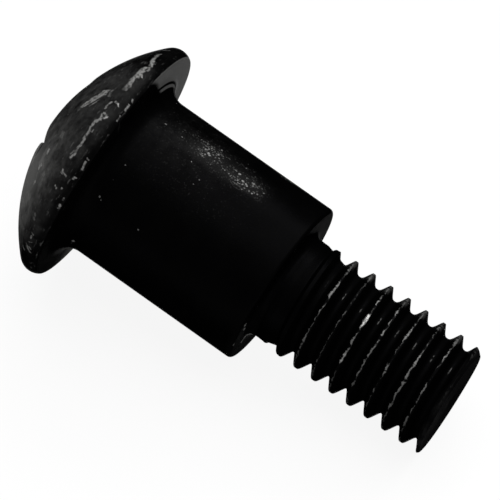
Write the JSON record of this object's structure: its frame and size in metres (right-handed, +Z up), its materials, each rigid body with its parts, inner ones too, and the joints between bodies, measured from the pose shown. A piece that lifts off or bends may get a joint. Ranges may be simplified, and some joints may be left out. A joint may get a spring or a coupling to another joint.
{
  "type": "pan head shoulder screw",
  "caption": "Pan head shoulder screw in black steel: domed head with a cross recess, thick plain shoulder, short neck and a slimmer right-hand metric thread, lying on its head and thread end.",
  "frame": {"origin": "on the floor, under the middle of the bounding box of the screw as it lies", "axes": "+Z up; the screw's axis lies in the XZ plane, with the head towards -X and the thread end towards +X, dipped 10.2 degrees below level because the screw rests on its head's rim and its last thread crest"},
  "size_m": [0.0162, 0.0088, 0.0087],
  "materials": {
    "black_steel": "glossy black oxide on steel, rubbed to bright metal in fine scratches on the crown and along the thread crests"
  },
  "bodies": {
    "root": {"screw": "black_steel"}
  },
  "joints": []
}
